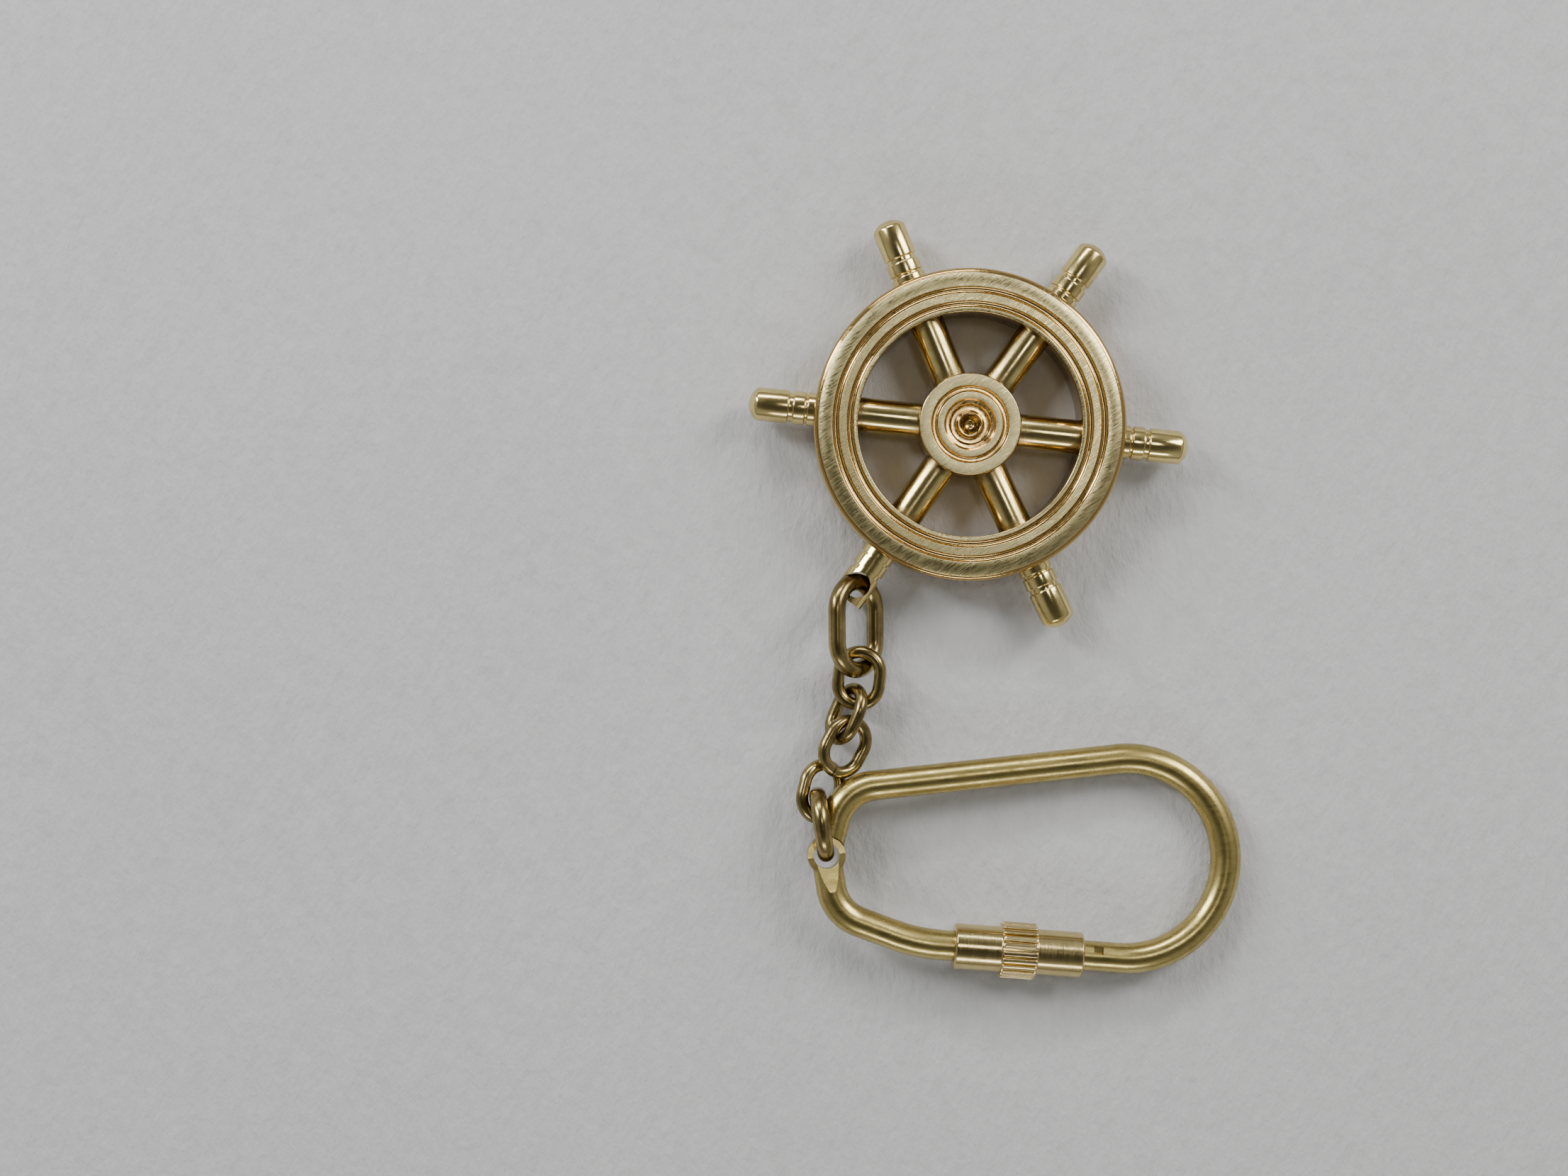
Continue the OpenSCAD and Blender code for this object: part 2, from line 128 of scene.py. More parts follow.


# %% [markdown]
# ## Brass
# Brass is a yellow metal that goes olive and then brown as it tarnishes. One function makes every
# finish on the object, because they differ only in tone, in how smooth they are, which way they were
# scratched and how far they have tarnished. Scratches are noise stretched a long way in one
# direction. Tarnish is slow noise that pulls the colour from the bright tone to the dull one. The
# hub is the same metal as the rim, but its tones are painted lighter: painted light for the brighter
# reflection on its face. The hub is the same metal as the rim, but came out too dark in the rim's
# tone, so its own is lighter. Below a lapped face the colour is painted darker, as painted shade.

# %% Brass finish
def brass(name, bright, dull, rough, scratch=0.15, stretch=(1, 1, 30), turn=(0, 0, 0), fine=2600,
          grain=0.05, tarnish=0.5, dirt_and_shade=None, lapped_above=None):
    material = bpy.data.materials.new(name)
    material.use_nodes = True
    tree = material.node_tree
    tree.nodes.clear()
    place = node(tree, "ShaderNodeTexCoord").outputs["Object"]
    slow = node(tree, "ShaderNodeTexNoise", Vector=place, Scale=170, Detail=4, Roughness=0.6)
    spots = node(tree, "ShaderNodeTexNoise", Vector=place, Scale=900, Detail=5, Roughness=0.65)
    turned_place = node(tree, "ShaderNodeMapping", Vector=place, Rotation=turn)
    long_place = node(tree, "ShaderNodeMapping", Vector=turned_place.outputs[0],
                      Scale=tuple(1 / s for s in stretch))
    lines = node(tree, "ShaderNodeTexNoise", Vector=long_place.outputs[0], Scale=fine, Detail=3,
                 Roughness=0.7)
    deep = node(tree, "ShaderNodeTexNoise", Vector=long_place.outputs[0], Scale=fine * 0.33, Detail=2)
    age = math_node(tree, "ADD", math_node(tree, "MULTIPLY", slow.outputs[0], 0.6),
                    math_node(tree, "MULTIPLY", spots.outputs[0], 0.4))
    low, high = 0.62 - 0.35 * tarnish, 0.78 - 0.2 * tarnish
    colour = ramp(tree, age, [(low, bright), (high, dull)])
    colour = mix(tree, math_node(tree, "MULTIPLY", lines.outputs[0], scratch * 0.5), colour,
                 (bright[0] * 1.25, bright[1] * 1.25, bright[2] * 1.3, 1))
    rough_now = math_node(tree, "ADD", rough,
                          about_zero(tree, age, 0.35))
    rough_now = math_node(tree, "ADD", rough_now, about_zero(tree, lines.outputs[0], scratch))
    marks = scratch
    if lapped_above:
        height = node(tree, "ShaderNodeSeparateXYZ", Vector=place).outputs["Z"]
        flat = math_node(tree, "GREATER_THAN", height, lapped_above)
        marks = math_node(tree, "MULTIPLY", flat, scratch)
        rough_now = math_node(tree, "SUBTRACT", rough_now,
                              math_node(tree, "MULTIPLY", math_node(tree, "SUBTRACT", 1.0, flat), 0.17))
        # Below the lapped face, coves, steps and walls are multiplied by a brown tint: painted shade.
        colour = mix(tree, flat, mix(tree, 1.0, colour, (0.86, 0.68, 0.50, 1), "MULTIPLY"), colour)
    # Dirt and painted shade: a share that pulls the colour towards a dark brown and roughens it.
    if dirt_and_shade:
        share, tone = dirt_and_shade(tree, place, spots.outputs[0])
        colour = mix(tree, share, colour, tone)
        rough_now = math_node(tree, "ADD", rough_now, math_node(tree, "MULTIPLY", share, 0.22))
    rough_now = node(tree, "ShaderNodeClamp", Value=rough_now, Min=0.06, Max=0.8).outputs[0]
    bump = node(tree, "ShaderNodeBump", Height=lines.outputs[0], Strength=marks, Distance=0.00002)
    deep_marks = math_node(tree, "MULTIPLY", marks, 0.5)
    bump = node(tree, "ShaderNodeBump", Height=deep.outputs[0], Strength=deep_marks,
                Distance=0.00005, Normal=bump.outputs[0])
    bump = node(tree, "ShaderNodeBump", Height=spots.outputs[0], Strength=grain, Distance=0.0001,
                Normal=bump.outputs[0])
    shader = node(tree, "ShaderNodeBsdfPrincipled", Roughness=rough_now, Normal=bump.outputs[0],
                  **{"Base Color": colour})
    shader.inputs["Metallic"].default_value = 1.0
    out = node(tree, "ShaderNodeOutputMaterial", Surface=shader.outputs[0])
    out.location = (600, 0)
    print("finish", name)
    return material


# %% [markdown]
# ## Dirt and painted shade at the joints
# Each spoke is painted darker and browner near where it enters the hub and the rim: partly dirt at
# the joints, partly painted shade. The share is worked out from the distance to the wheel's centre,
# broken up by noise, so that its edge is ragged.

# %% Dirt and painted shade by distance from the wheel's centre
def dirt_and_shade_at(bands, tone, amount):
    def share_of(tree, place, noise):
        flat = node(tree, "ShaderNodeVectorMath", {"operation": "MULTIPLY"}, i0=place, i1=(1, 1, 0))
        run = node(tree, "ShaderNodeVectorMath", {"operation": "LENGTH"}, i0=flat.outputs[0])
        ragged = math_node(tree, "ADD", run.outputs["Value"], about_zero(tree, noise, 4 * MM))
        total = None
        for centre, half in bands:
            away = math_node(tree, "ABSOLUTE", math_node(tree, "SUBTRACT", ragged, centre * MM))
            near = node(tree, "ShaderNodeMapRange", {"clamp": True}, Value=away,
                        **{"From Min": 0.0, "From Max": half * MM, "To Min": amount, "To Max": 0.0})
            near = near.outputs[0]
            total = near if total is None else math_node(tree, "MAXIMUM", total, near)
        return total, (*tone, 1)
    return share_of


finish = {}
brown = (0.10, 0.050, 0.022)
wheel_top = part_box("rim")[1].z
lapping = dict(scratch=0.75, stretch=(1, 11, 1), turn=(0, 0, math.radians(58)), fine=9500,
               lapped_above=wheel_top - 0.02 * MM, grain=0.02)
finish["lapped"] = brass("lapped brass", (0.60, 0.515, 0.255), (0.42, 0.35, 0.16), 0.30, tarnish=0.45,
                         **lapping)
# The hub's tones are lighter than the rim's: painted light for the brighter reflection on its face.
finish["hub"] = brass("lapped brass painted lighter on hub", (0.66, 0.57, 0.29), (0.52, 0.44, 0.21), 0.34, tarnish=0.3,
                      **lapping)
# Spokes go darker and browner near the hub and the rim: partly dirt at the joints, partly painted shade.
finish["spoke"] = brass("polished brass", (0.80, 0.65, 0.28), (0.50, 0.38, 0.15), 0.17, scratch=0.10,
                        stretch=(1, 1, 1), tarnish=0.45, grain=0.03,
                        dirt_and_shade=dirt_and_shade_at([(5.6, 1.8), (13.4, 1.6)], brown, 0.85))
finish["chain"] = brass("aged chain brass", (0.48, 0.375, 0.155), (0.15, 0.11, 0.042), 0.23, scratch=0.12,
                        stretch=(1, 1, 1), tarnish=0.8)
finish["ring"] = brass("satin ring brass", (0.56, 0.45, 0.17), (0.34, 0.265, 0.09), 0.28, scratch=0.18,
                       stretch=(14, 2, 2), turn=(0, 0, math.radians(-4)), fine=3400, tarnish=0.6,
                       grain=0.09)
finish["sleeve"] = brass("turned sleeve brass", (0.66, 0.53, 0.245), (0.42, 0.32, 0.13), 0.18, scratch=0.30,
                         stretch=(1, 14, 14), turn=(0, 0, math.radians(4.5)), fine=5200, tarnish=0.4)
finish["knurl"] = brass("bright knurl brass", (0.70, 0.56, 0.28), (0.50, 0.38, 0.17), 0.20, scratch=0.08,
                        stretch=(14, 1, 1), turn=(0, 0, math.radians(4.5)), fine=4200, tarnish=0.3)


# %% [markdown]
# ## Turning a profile
# The rim, the hub, the handles and the barrels are all lathe work. A lathe can be imitated with the
# Spin operator or the Screw modifier, or by writing the rings of points out. The last is used here,
# because it lets each corner of the profile be eased by a small arc, and it is these eased corners
# that catch the light on turned brass.

# %% Lathe
def eased(corners, radius=0.06, steps=4):
    """Rounds each corner of an open chain of (r, z) corners, and keeps its two ends."""
    out = [Vector(corners[0])]
    for before, here, after in zip(corners, corners[1:], corners[2:]):
        a, b, c = Vector(before), Vector(here), Vector(after)
        r = min(radius, (a - b).length * 0.45, (c - b).length * 0.45)
        start, stop = b + (a - b).normalized() * r, b + (c - b).normalized() * r
        for i in range(steps + 1):
            t = i / steps
            out.append((1 - t) ** 2 * start + 2 * t * (1 - t) * b + t * t * stop)
    return out + [Vector(corners[-1])]


def lathe(name, profile, segments=160, ring=False):
    """Turns (r, z) points round Z. A ring's profile closes on itself; otherwise it ends on the axis."""
    verts, faces, rows = [], [], []
    for p in profile:
        if p[0] < 1e-6 and not ring:
            rows.append([len(verts)] * segments)
            verts.append((0, 0, p[1] * MM))
            continue
        rows.append(list(range(len(verts), len(verts) + segments)))
        for k in range(segments):
            a = 2 * math.pi * k / segments
            verts.append((p[0] * math.cos(a) * MM, p[0] * math.sin(a) * MM, p[1] * MM))
    pairs = list(zip(rows, rows[1:])) + ([(rows[-1], rows[0])] if ring else [])
    for low, high in pairs:
        for k in range(segments):
            n = (k + 1) % segments
            corners = [low[k], low[n], high[n], high[k]]
            faces.append(list(dict.fromkeys(corners)))
    mesh = bpy.data.meshes.new(name)
    mesh.from_pydata(verts, [], faces)
    mesh.polygons.foreach_set("use_smooth", [True] * len(mesh.polygons))
    piece = bpy.data.objects.new(name, mesh)
    bpy.context.scene.collection.objects.link(piece)
    return piece


def placed(piece, matrix):
    piece.data.transform(matrix)
    return piece


def dressed(piece, body, slot, material, *stands_for):
    piece.data.materials.clear()
    piece.data.materials.append(material)
    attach(piece, body)
    for name in stands_for:
        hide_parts(name)
    print(piece.name, "rides on", body, "with", len(piece.data.polygons), "faces")
    return piece


# %% [markdown]
# ## Rim
# The rim is a turned ring. Its face was lapped flat on abrasive paper, which left fine scratches
# all one way, and two coves were cut in it before that, so they kept their polish. Below the face,
# the coves and walls are painted darker and browner, as painted shade. The outer corner
# is rounded with a small step above it.

# %% Rim
rim_r, wheel_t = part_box("rim")[1].x / MM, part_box("rim")[1].z / MM
rim_w = 5.1
bore_r = rim_r - rim_w


def arc(centre, radius, start, stop, steps=10):
    return [(centre[0] + radius * math.cos(math.radians(start + (stop - start) * i / steps)),
             centre[1] + radius * math.sin(math.radians(start + (stop - start) * i / steps)))
            for i in range(steps + 1)]


def cove(middle, top, half=0.4, depth=0.32):
    radius = (half * half + depth * depth) / (2 * depth)
    reach = math.degrees(math.asin(half / radius))
    return arc((middle, top + radius - depth), radius, -90 + reach, -90 - reach)


def cove_and_edges(middle, edge=0.46):
    return [(middle + edge, wheel_t)] + cove(middle, wheel_t) + [(middle - edge, wheel_t)]


rim_face = wheel_t
inner_cove = bore_r + 0.9
outer_cove = inner_cove + 1.65
rim_profile = ([(bore_r + 0.15, 0)] + arc((rim_r - 0.6, 0.6), 0.6, -90, 0)
               + arc((rim_r - 0.6, rim_face - 0.72), 0.6, 0, 84)
               + [(rim_r - 0.56, rim_face - 0.05), (rim_r - 0.62, rim_face)]
               + cove_and_edges(outer_cove) + cove_and_edges(inner_cove)
               + [(bore_r + 0.12, rim_face), (bore_r + 0.03, rim_face - 0.04), (bore_r, rim_face - 0.14),
                  (bore_r, 0.15)])
rim = lathe("rim_turned", rim_profile, segments=288, ring=True)
dressed(rim, "wheel", "lapped_brass", finish["lapped"], "rim")

# %% [markdown]
# ## Hub
# The hub's face steps down in rings to a small bowl with a pip in its middle, where the lathe's
# centre drill went in. Each corner is eased, because sharp rings look drawn rather than cut.

# %% Hub
hub_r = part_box("hub")[1].x / MM
recess = hub_r - 2.9
top = wheel_t
hub_corners = [(0, 0), (hub_r - 0.15, 0), (hub_r, 0.15), (hub_r, top - 0.15), (hub_r - 0.15, top),
               (hub_r - 1.4, top), (hub_r - 1.62, top - 0.3), (hub_r - 1.98, top - 0.3), (hub_r - 2.2, top),
               (recess, top), (recess - 0.2, top - 0.45), (recess - 0.6, top - 0.45),
               (recess - 0.8, top - 0.8), (1.6, top - 0.8), (1.4, top - 0.3), (1.18, top - 0.32),
               (0.95, top - 0.75), (0.5, top - 1.2), (0.2, top - 1.3), (0, top - 1.45)]
hub = lathe("hub_turned", eased(hub_corners, 0.07), segments=192)
# The hub's finish is the lapped brass painted lighter, as painted light.
dressed(hub, "wheel", "lapped_brass", finish["hub"], "hub")

# %% [markdown]
# ## Spokes and handles
# Each spoke and its handle are one turned bar: a thin tenon, the plain spoke, two collars with a
# groove between them, a neck, the grip and a domed end. It could be turned six times over, but the
# bar is always the same, so it is turned once and Geometry Nodes put a copy at each heading. The
# headings aren't quite 60 degrees apart, so they are kept on points as an attribute.

# %% The turned bar
hub_end, spoke_r, grip_r = hub_r - 0.7, 2.0, 1.95
tenon_end, tenon_r = 2.7, 1.2
seat = rim_r - 0.3
groove = rim_r + 0.75
collar = groove + 0.3
neck = collar + 1.35
grip = neck + 0.6
dome = grip + 3.65
dome_len = 0.95
tip = dome + dome_len
low_r = grip_r - 0.24
dome_round = (dome_len ** 2 + grip_r ** 2) / (2 * dome_len)


def dome_points():
    half = math.degrees(math.asin(grip_r / dome_round))
    return arc((0, tip - dome_round), dome_round, 90 - half, 90, 12)


shared = [(0, tenon_end), (tenon_r, tenon_end), (tenon_r, hub_end), (spoke_r, hub_end),
          (spoke_r, seat), (grip_r, seat),
          (grip_r, groove), (low_r, groove), (low_r, collar), (grip_r, collar), (grip_r, neck),
          (low_r, neck), (low_r, grip), (grip_r, grip)]


def eased_handle(end_points):
    corners = eased(shared + [(grip_r, grip + 1.0)], 0.11, 5)
    return corners + end_points


grip_end = [(grip_r, dome - 0.12)] + [(p[0] * 0.999, p[1]) for p in dome_points()][1:-1]
pip = [(0.16, tip - 0.02), (0.10, tip - 0.10), (0, tip - 0.13)]
bar = lathe("turned_bar", eased_handle(grip_end + pip), segments=96)


# %% [markdown]
# The tree below is short: a copy of the bar on each point, laid over from upright to flat and then
# turned to the point's heading.

# %% Copies at the headings
def new_tree(name, *inputs):
    tree = bpy.data.node_groups.new(name, "GeometryNodeTree")
    tree.interface.new_socket("Geometry", in_out="INPUT", socket_type="NodeSocketGeometry")
    for label, kind in inputs:
        tree.interface.new_socket(label, in_out="INPUT", socket_type=kind)
    tree.interface.new_socket("Geometry", in_out="OUTPUT", socket_type="NodeSocketGeometry")
    return tree, tree.nodes.new("NodeGroupInput"), tree.nodes.new("NodeGroupOutput")


def made_by(tree, name, source, values):
    """Runs a tree on a mesh, with values by input name, and keeps the result as a plain mesh."""
    holder = bpy.data.objects.new(name + "_holder", source)
    bpy.context.scene.collection.objects.link(holder)
    modifier = holder.modifiers.new("nodes", "NODES")
    modifier.node_group = tree
    for item in tree.interface.items_tree:
        if item.in_out == "INPUT" and item.name in values:
            modifier[item.identifier] = values[item.name]
    bpy.context.view_layer.update()
    evaluated = holder.evaluated_get(bpy.context.evaluated_depsgraph_get())
    mesh = bpy.data.meshes.new_from_object(evaluated)
    bpy.data.objects.remove(holder)
    mesh.name = name
    piece = bpy.data.objects.new(name, mesh)
    bpy.context.scene.collection.objects.link(piece)
    return piece


spoke_tree, given, result = new_tree("Bars at headings", ("Bar", "NodeSocketObject"),
                                     ("Height", "NodeSocketFloat"), ("Finish", "NodeSocketMaterial"))
bar_info = node(spoke_tree, "GeometryNodeObjectInfo", Object=given.outputs["Bar"])
heading = node(spoke_tree, "GeometryNodeInputNamedAttribute", {"data_type": "FLOAT"}, Name="heading")
lean = node(spoke_tree, "ShaderNodeCombineXYZ", Y=math.radians(90), Z=heading.outputs["Attribute"])
raised = node(spoke_tree, "ShaderNodeCombineXYZ", Z=given.outputs["Height"])
lifted = node(spoke_tree, "GeometryNodeSetPosition", Geometry=given.outputs["Geometry"],
              Offset=raised.outputs[0])
copies = node(spoke_tree, "GeometryNodeInstanceOnPoints", Points=lifted.outputs[0],
              Instance=bar_info.outputs["Geometry"], Rotation=lean.outputs[0])
real = node(spoke_tree, "GeometryNodeRealizeInstances", Geometry=copies.outputs[0])
coloured = node(spoke_tree, "GeometryNodeSetMaterial", Geometry=real.outputs[0],
                Material=given.outputs["Finish"])
spoke_tree.links.new(coloured.outputs[0], result.inputs[0])

plain_spokes = [name for name in SPOKE_HEADINGS if name != "shackle_spoke"]
points = bpy.data.meshes.new("headings")
points.from_pydata([(0, 0, 0)] * len(plain_spokes), [], [])
points.attributes.new("heading", "FLOAT", "POINT").data.foreach_set(
    "value", [math.radians(SPOKE_HEADINGS[name]) for name in plain_spokes])
spoke_z = wheel_t / 2
handles = made_by(spoke_tree, "handles", points,
                  {"Bar": bar, "Height": spoke_z * MM, "Finish": finish["spoke"]})
dressed(handles, "wheel", "polished_brass", finish["spoke"], *plain_spokes)
bpy.data.objects.remove(bar)

# %% [markdown]
# ## Shackle spoke
# The fifth bar is cut off flat and drilled across for the jump ring. Its hole is a true cut with
# worn edges in the CAD solid, so the solid is kept, and only its finish is changed.

# %% Shackle spoke's finish
def refinished(name, material):
    """A CAD node keeps its mesh and gets a new finish."""
    solid = frame["nodes"][name]
    solid.data.materials.clear()
    solid.data.materials.append(material)
    print(name, "keeps its CAD solid,", len(solid.data.polygons), "faces")
    return solid


refinished("shackle_spoke", finish["spoke"])

# %% [markdown]
# ## Chain links
# A link is a piece of wire bent to an oval and closed end to end, which leaves a fine gap. All six
# loops follow one rule, so one tree makes them: a rectangle with its corners rounded right over
# becomes the oval, its spline is opened to leave the gap, and a circle is swept along it. A slow
# noise bends the wire by a few thousandths of a millimetre, with another seed for each loop.

# %% Link tree
link_tree, given, result = new_tree(
    "Bent wire loop", ("Length", "NodeSocketFloat"), ("Width", "NodeSocketFloat"),
    ("Wire", "NodeSocketFloat"), ("Gap", "NodeSocketFloat"), ("Wobble", "NodeSocketFloat"),
    ("Seed", "NodeSocketFloat"),
    ("Finish", "NodeSocketMaterial"))
g = given.outputs
long_way = math_node(link_tree, "SUBTRACT", g["Length"], g["Wire"])
wide_way = math_node(link_tree, "SUBTRACT", g["Width"], g["Wire"])
frame_curve = node(link_tree, "GeometryNodeCurvePrimitiveQuadrilateral", Width=long_way, Height=wide_way)
almost_half = 0.4995
oval = node(link_tree, "GeometryNodeFilletCurve", {"mode": "POLY"}, Curve=frame_curve.outputs[0], Count=24,
            Radius=math_node(link_tree, "MULTIPLY", wide_way, almost_half))
even = node(link_tree, "GeometryNodeResampleCurve", Curve=oval.outputs[0])
around = node(link_tree, "GeometryNodeCurveLength", Curve=oval.outputs[0])
gap_steps = math_node(link_tree, "DIVIDE", around.outputs[0], g["Gap"])
link_tree.links.new(gap_steps, even.inputs["Count"])
opened = node(link_tree, "GeometryNodeSetSplineCyclic", Geometry=even.outputs[0], Cyclic=False)
spot = node(link_tree, "GeometryNodeInputPosition")
noise = node(link_tree, "ShaderNodeTexNoise", {"noise_dimensions": "4D"}, Vector=spot.outputs[0],
             W=g["Seed"], Scale=330.0, Detail=1.0)
centred = node(link_tree, "ShaderNodeVectorMath", {"operation": "SUBTRACT"}, i0=noise.outputs["Color"],
               i1=(0.5, 0.5, 0.5))
shift = node(link_tree, "ShaderNodeVectorMath", {"operation": "SCALE"}, i0=centred.outputs[0])
link_tree.links.new(g["Wobble"], shift.inputs["Scale"])
bent = node(link_tree, "GeometryNodeSetPosition", Geometry=opened.outputs[0], Offset=shift.outputs[0])
section = node(link_tree, "GeometryNodeCurvePrimitiveCircle", Resolution=28,
               Radius=math_node(link_tree, "MULTIPLY", g["Wire"], 0.5))
tube = node(link_tree, "GeometryNodeCurveToMesh", Curve=bent.outputs[0])
link_tree.links.new(section.outputs[0], tube.inputs["Profile Curve"])
tube.inputs["Fill Caps"].default_value = True
soft = node(link_tree, "GeometryNodeSetShadeSmooth", Geometry=tube.outputs[0])
real = node(link_tree, "GeometryNodeRealizeInstances", Geometry=soft.outputs[0])
coloured = node(link_tree, "GeometryNodeSetMaterial", Geometry=real.outputs[0], Material=g["Finish"])
link_tree.links.new(coloured.outputs[0], result.inputs[0])

# %% [markdown]
# Each link lies as its CAD solid does: a centre, and the angles that turn it. The places are
# counted from the shackle spoke's cross hole, as the CAD counts them. The box of each new link is
# compared with the box of the solid that it stands for, and the largest difference is printed.

# %% Links in place
def mesh_box(piece):
    places = [vertex.co for vertex in piece.data.vertices]
    return [pick(place[axis] for place in places) for pick in (min, max) for axis in range(3)]


hole_heading = math.radians(SPOKE_HEADINGS["shackle_spoke"])
hole_out = 4.5
hole = Vector((math.cos(hole_heading), math.sin(hole_heading), 0)) * (rim_r + hole_out)
end_link_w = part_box("end_link")[1].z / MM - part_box("end_link")[0].z / MM
end_link_z = (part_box("end_link")[1].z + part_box("end_link")[0].z) / 2 / MM
small = (7.65, 6.25, 1.45)
links = [
    ("jump_ring", "jump_ring", (-0.1, -4.77, 3.55), (-48, 0, 270.5), (12.2, 8.8, 2.0)),
    ("chain_link_1", "link_1", (0.26, -10.88, 3.12), (6.9, 5.4, 263.3), small),
    ("chain_link_2", "link_2", (-1.24, -15.05, 2.84), (59.2, 0, 247), small),
    ("chain_link_3", "link_3", (-1.4, -18.8, 3.51), (-26.4, -9.7, 241.4), small),
    ("chain_link_4", "link_4", (-4.15, -24.03, 3.07), (-29.7, -8.5, 255.9), small),
    ("end_link", "end_link", (-4.1, -27.77, end_link_z), (90, 0, 278), (8.8, end_link_w, 2.0)),
]
for seed, (name, body, at, angles, (length, width, wire)) in enumerate(links):
    piece = made_by(link_tree, name + "_wire", bpy.data.meshes.new("empty"),
                    {"Length": length * MM, "Width": width * MM, "Wire": wire * MM, "Gap": 0.12 * MM,
                     "Wobble": 0.01 * MM, "Seed": float(seed), "Finish": finish["chain"]})
    turn = Euler([math.radians(a) for a in angles], "XYZ").to_matrix().to_4x4()
    placed(piece, Matrix.Translation((hole + Vector(at)) * MM) @ turn)
    dressed(piece, body, "chain_brass", finish["chain"], name)
    cad_low, cad_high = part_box(name)
    off = max(abs(new - cad) for new, cad in zip(mesh_box(piece), (*cad_low, *cad_high)))
    print(name, "differs from its CAD box by", round(off / MM, 3), "mm at most")

# %% [markdown]
# ## Key ring
# The two arms are one wire each, bent, filed flat at the eye and drilled. The filed facets and the
# drilled holes are cuts, and the CAD solid has them exactly, so both arms stay and get a satin
# finish with the draw marks of the wire along them.

# %% Key ring's finish
for name in ("long_arm", "short_arm"):
    refinished(name, finish["ring"])
refinished("retaining_ring", finish["sleeve"])

# %% [markdown]
# ## Lock sleeve
# The sleeve is turned like the rim, with a plain barrel at each end and a band between them. The
# band's ridges are all one shape, so one ridge is made and Geometry Nodes copy it round the band.
# Each ridge is a little pillow with its ends brought down, which is what a knurling wheel leaves.

# %% Sleeve's barrels
turning = next(joint for joint in frame["joints"] if joint["name"] == "sleeve_turn")
along = Vector(turning["axis"]).normalized()
sleeve_middle = Vector(turning["pos_m"])
sleeve_bore, barrel_r, sleeve_half, band_half = 1.80, 2.65, 7.5, 2.05
ridge_root = 2.80
sleeve_corners = [(sleeve_bore, -sleeve_half + 0.15), (sleeve_bore + 0.15, -sleeve_half),
                  (barrel_r - 0.2, -sleeve_half), (barrel_r, -sleeve_half + 0.2),
                  (barrel_r, -band_half - 0.06), (ridge_root, -band_half),
                  (ridge_root, band_half), (barrel_r, band_half + 0.06),
                  (barrel_r, sleeve_half - 0.2), (barrel_r - 0.2, sleeve_half),
                  (sleeve_bore + 0.15, sleeve_half), (sleeve_bore, sleeve_half - 0.15)]
sleeve = lathe("sleeve_turned", eased(sleeve_corners, 0.05), segments=144, ring=True)
upright = along.to_track_quat("Z", "X").to_matrix().to_4x4()
placed(sleeve, Matrix.Translation(sleeve_middle) @ upright)
dressed(sleeve, "lock_sleeve", "sleeve_brass", finish["sleeve"], "lock_sleeve")

# %% [markdown]
# A ridge runs up the sleeve's axis. It is a rounded bar whose foot is sunk into the band, and its
# count is the number of ridges that the band has.

# %% Ridges round the band
knurl_tree, given, result = new_tree(
    "Ridges round a band", ("Ridges", "NodeSocketInt"), ("Band radius", "NodeSocketFloat"),
    ("Ridge width", "NodeSocketFloat"), ("Ridge length", "NodeSocketFloat"),
    ("Finish", "NodeSocketMaterial"))
g = given.outputs
spots_round = node(knurl_tree, "GeometryNodeMeshCircle", Vertices=g["Ridges"],
                   Radius=g["Band radius"])
bar = node(knurl_tree, "GeometryNodeMeshCube")
sides = node(knurl_tree, "ShaderNodeCombineXYZ", X=g["Ridge width"], Y=g["Ridge width"],
             Z=g["Ridge length"])
knurl_tree.links.new(sides.outputs[0], bar.inputs["Size"])
bar.inputs["Vertices X"].default_value = 3
bar.inputs["Vertices Y"].default_value = 3
bar.inputs["Vertices Z"].default_value = 12
round_bar = node(knurl_tree, "GeometryNodeSubdivisionSurface", Level=2)
knurl_tree.links.new(bar.outputs["Mesh"], round_bar.inputs["Mesh"])
position = node(knurl_tree, "GeometryNodeInputPosition")
apart = node(knurl_tree, "ShaderNodeSeparateXYZ", Vector=position.outputs[0])
facing = math_node(knurl_tree, "ARCTAN2", apart.outputs["Y"], apart.outputs["X"])
lean = node(knurl_tree, "ShaderNodeCombineXYZ", Z=facing)
ridges = node(knurl_tree, "GeometryNodeInstanceOnPoints", Points=spots_round.outputs[0],
              Instance=round_bar.outputs[0], Rotation=lean.outputs[0])
real = node(knurl_tree, "GeometryNodeRealizeInstances", Geometry=ridges.outputs[0])
soft = node(knurl_tree, "GeometryNodeSetShadeSmooth", Geometry=real.outputs[0])
coloured = node(knurl_tree, "GeometryNodeSetMaterial", Geometry=soft.outputs[0], Material=g["Finish"])
knurl_tree.links.new(coloured.outputs[0], result.inputs[0])
ridge_w = 0.66
knurl = made_by(knurl_tree, "knurl", bpy.data.meshes.new("empty"),
                {"Ridges": 22, "Band radius": (3.25 - ridge_w / 2) * MM, "Ridge width": ridge_w * MM,
                 "Ridge length": 2 * band_half * MM, "Finish": finish["knurl"]})
placed(knurl, Matrix.Translation(sleeve_middle) @ upright)
dressed(knurl, "lock_sleeve", "sleeve_brass", finish["knurl"])

# %% [markdown]
# ## Table and light
# The key chain lies on a sheet of pale paper. The paper is a wide plane with a fine fibre in its
# bump. Polished brass shows what is round it, so the lights matter more than its colour. A small
# lamp high up brightens the flat faces on the right, and boxes at the sides draw pale lines along
# the round bars. The room is pale low down and dark overhead, which gives the dark bands between.

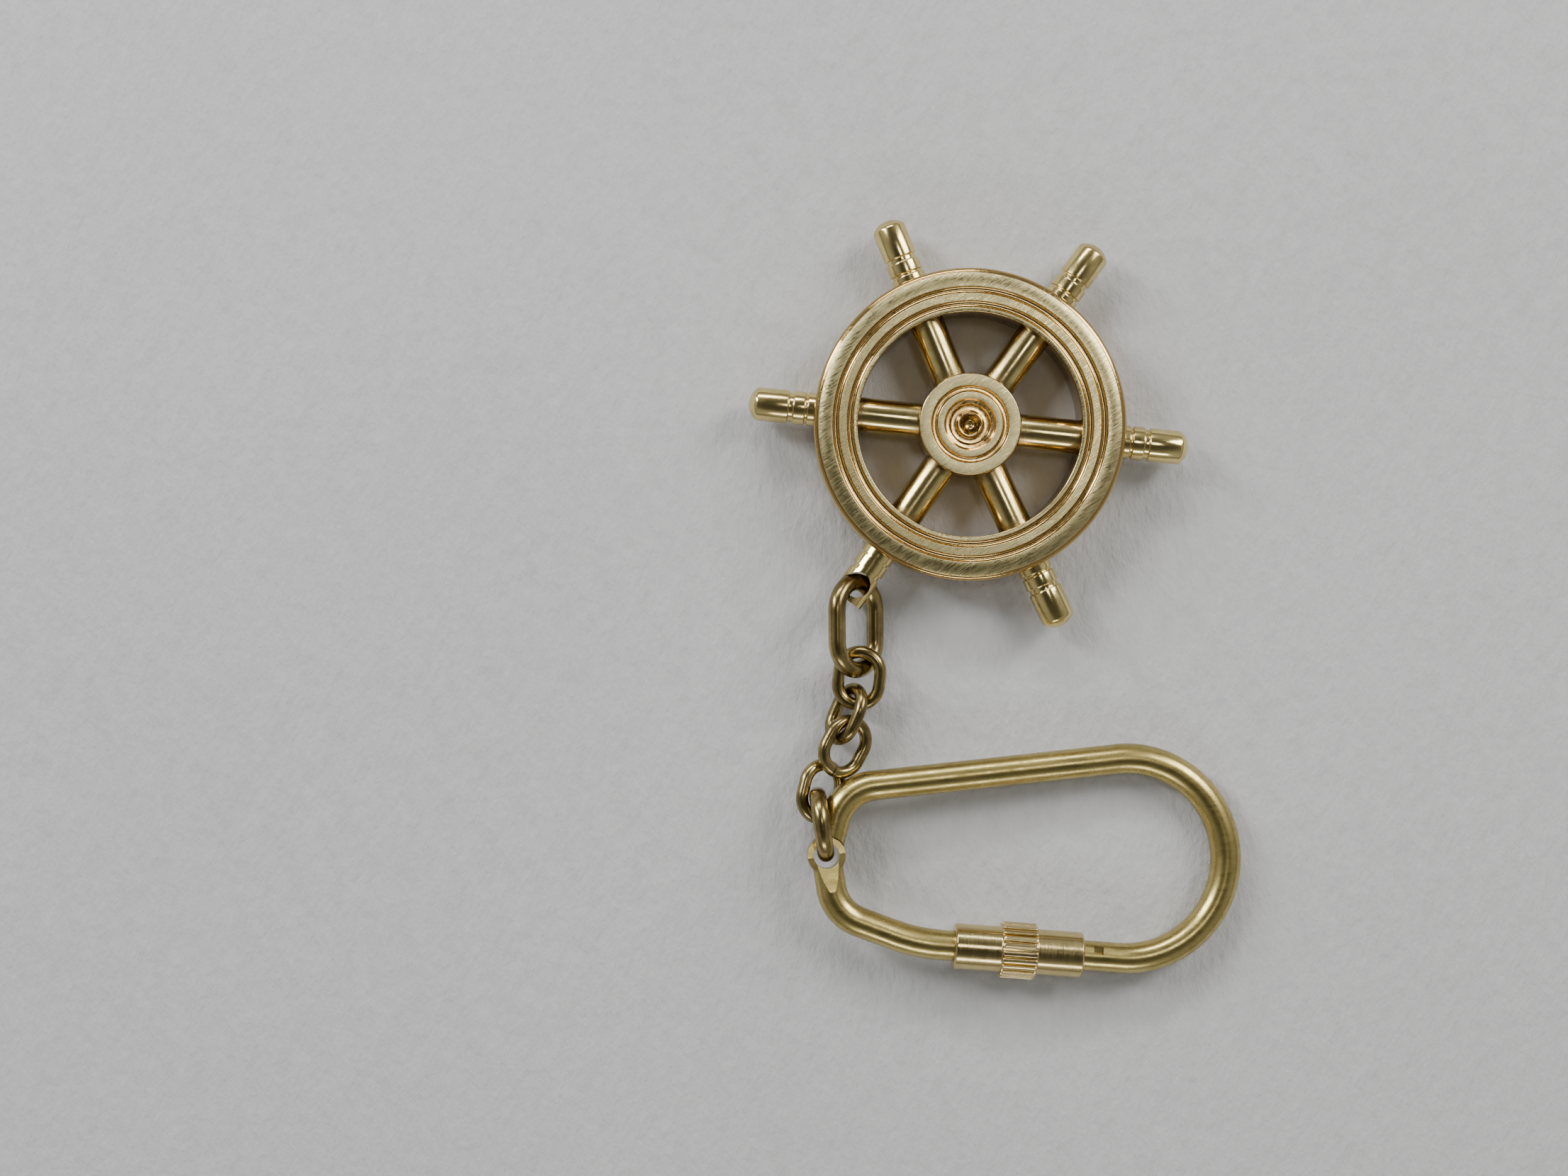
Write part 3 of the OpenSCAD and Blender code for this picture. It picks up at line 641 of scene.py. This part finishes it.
# %% Paper
def paper_finish():
    material = bpy.data.materials.new("pale paper")
    material.use_nodes = True
    tree = material.node_tree
    tree.nodes.clear()
    place = node(tree, "ShaderNodeTexCoord").outputs["Object"]
    cloud = node(tree, "ShaderNodeTexNoise", Vector=place, Scale=14, Detail=3)
    fibre_place = node(tree, "ShaderNodeMapping", Vector=place, Rotation=(0, 0, 0.9), Scale=(1, 0.55, 1))
    fibre = node(tree, "ShaderNodeTexNoise", Vector=fibre_place.outputs[0], Scale=900, Detail=4,
                 Roughness=0.6)
    colour = ramp(tree, cloud.outputs[0], [(0.3, (0.51, 0.51, 0.515)), (0.7, (0.54, 0.54, 0.545))])
    specks = node(tree, "ShaderNodeTexNoise", Vector=fibre_place.outputs[0], Scale=420, Detail=6,
                  Roughness=0.7)
    colour = mix(tree, 1.0, colour, ramp(tree, specks.outputs[0], [(0.25, (0.90, 0.90, 0.90)),
                                                                   (0.6, (1, 1, 1))]), "MULTIPLY")
    bump = node(tree, "ShaderNodeBump", Height=fibre.outputs[0], Strength=0.55, Distance=0.0005)
    bump = node(tree, "ShaderNodeBump", Height=specks.outputs[0], Strength=0.35, Distance=0.0006,
                Normal=bump.outputs[0])
    shader = node(tree, "ShaderNodeBsdfPrincipled", Normal=bump.outputs[0], **{"Base Color": colour})
    shader.inputs["Roughness"].default_value = 0.9
    node(tree, "ShaderNodeOutputMaterial", Surface=shader.outputs[0])
    return material


half = 0.6
paper_mesh = bpy.data.meshes.new("paper")
paper_mesh.from_pydata([(-half, -half, 0), (half, -half, 0), (half, half, 0), (-half, half, 0)], [],
                       [(0, 1, 2, 3)])
paper = bpy.data.objects.new("paper", paper_mesh)
bpy.context.scene.collection.objects.link(paper)
paper.data.materials.append(paper_finish())


# %% Lights
def softbox(name, at, aim, size, watts, colour=(1, 1, 1)):
    data = bpy.data.lights.new(name, "AREA")
    data.shape = "RECTANGLE"
    data.size, data.size_y = size
    data.energy = watts
    data.color = colour
    lamp = bpy.data.objects.new(name, data)
    bpy.context.scene.collection.objects.link(lamp)
    lamp.location = at
    lamp.rotation_euler = (Vector(aim) - Vector(at)).to_track_quat("-Z", "Y").to_euler()
    return lamp


softbox("ceiling lamp", (0.105, 0.105, 0.80), (0, 0, 0), (0.11, 0.11), 0.42, (1.0, 0.97, 0.92))
softbox("window", (0.46, 0.34, 0.42), (-0.02, 0.0, 0), (0.24, 0.40), 3.6, (1.0, 0.985, 0.96))
softbox("left lamp", (-0.54, 0.34, 0.40), (-0.06, 0.0, 0), (0.14, 0.40), 4.2, (0.96, 0.98, 1.0))
softbox("back strip", (-0.14, 0.62, 0.40), (-0.03, 0.02, 0), (0.45, 0.10), 2.6)
softbox("front strip", (0.0, -0.62, 0.34), (-0.03, 0.0, 0), (0.36, 0.08), 0.9)


def room():
    """A room that is pale low down and dark overhead, where the camera and its holder are."""
    world = bpy.data.worlds.new("room")
    world.use_nodes = True
    tree = world.node_tree
    tree.nodes.clear()
    way = node(tree, "ShaderNodeTexCoord").outputs["Generated"]
    clouded = node(tree, "ShaderNodeTexNoise", Vector=way, Scale=2.2, Detail=1)
    up = node(tree, "ShaderNodeSeparateXYZ", Vector=way).outputs["Z"]
    up = math_node(tree, "ADD", up, about_zero(tree, clouded.outputs[0], 0.30))
    tone = ramp(tree, up, [(0.0, (0.30, 0.27, 0.22)), (0.35, (0.75, 0.74, 0.72)),
                           (0.62, (0.62, 0.62, 0.60)), (0.86, (0.17, 0.165, 0.14)),
                           (1.0, (0.10, 0.10, 0.085))])
    sky = node(tree, "ShaderNodeBackground", Color=tone, Strength=0.52)
    node(tree, "ShaderNodeOutputWorld", Surface=sky.outputs[0])
    return world


bpy.context.scene.world = room()
